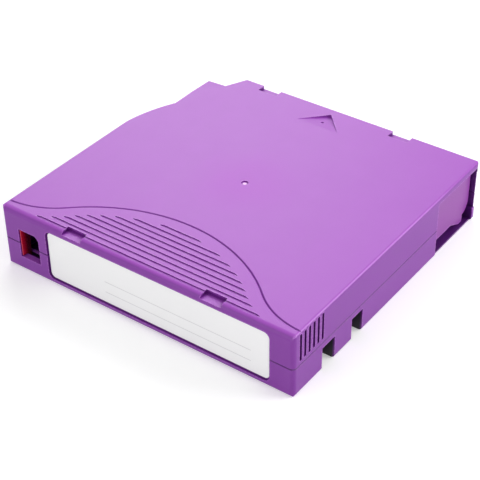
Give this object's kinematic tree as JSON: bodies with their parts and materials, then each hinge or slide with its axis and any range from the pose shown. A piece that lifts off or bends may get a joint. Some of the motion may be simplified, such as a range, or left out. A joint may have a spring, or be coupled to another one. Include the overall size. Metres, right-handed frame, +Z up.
{
  "type": "data tape cartridge",
  "caption": "Flat square single-reel data tape cartridge with a stepped corner, a sliding side door, a spine label and a write-protect tab.",
  "frame": {"origin": "middle of the bottom face, on the surface it lies on", "axes": "+X from the middle to the door side, +Y from the label spine to the front edge that goes into a drive, +Z up"},
  "size_m": [0.1054, 0.102, 0.0215],
  "materials": {
    "casing_plastic": "fine spark texture",
    "label_paper": "matt printed paper",
    "switch_red": "smooth",
    "reel_plastic": "moulded, pale",
    "drive_steel": "stamped",
    "tape_film": "smooth film",
    "lock_plastic": "moulded",
    "spring_steel": "drawn wire",
    "pin_steel": "turned and polished",
    "clip_plastic": "moulded",
    "chip_board": "small circuit board",
    "screw_steel": "zinc coated"
  },
  "bodies": {
    "case": {"lower_shell": "casing_plastic", "upper_shell": "casing_plastic", "spine_label": "label_paper", "case_screws": "screw_steel", "memory_chip": "chip_board", "leader_pin": "pin_steel", "leader_clip": "clip_plastic", "tape_leader": "tape_film", "pin_spring_lower": "spring_steel", "pin_spring_upper": "spring_steel", "brake_spring": "spring_steel", "door_spring": "spring_steel"},
    "door": {"door": "casing_plastic"},
    "switch": {"write_protect_switch": "switch_red"},
    "reel": {"reel_hub": "reel_plastic", "upper_flange": "reel_plastic", "drive_plate": "drive_steel", "tape_pack": "tape_film"},
    "brake": {"brake_button": "lock_plastic"},
    "pad": {"release_pad": "lock_plastic"}
  },
  "joints": [
    {"name": "door_slide", "type": "slide", "parent": "case", "child": "door", "axis": [0, -1, 0], "range_m": [0, 0.0195], "stiffness_N_per_m": 25, "springref_m": -0.008, "deforming": ["door_spring"]},
    {"name": "switch_slide", "type": "slide", "parent": "case", "child": "switch", "axis": [1, 0, 0], "range_m": [0, 0.003]},
    {"name": "reel_spin", "type": "hinge", "parent": "case", "child": "reel", "pos_m": [0, 0, 0.01075], "axis": [0, 0, 1], "continuous": true},
    {"name": "brake_lift", "type": "slide", "parent": "case", "child": "brake", "axis": [0, 0, 1], "range_m": [0, 0.002], "stiffness_N_per_m": 400, "springref_m": -0.004, "deforming": ["brake_spring"]},
    {"name": "pad_lift", "type": "slide", "parent": "reel", "child": "pad", "axis": [0, 0, 1], "range_m": [0, 0.002]}
  ],
  "couplings": [
    {"joint": "pad_lift", "follows": "brake_lift", "ratio": 1}
  ]
}
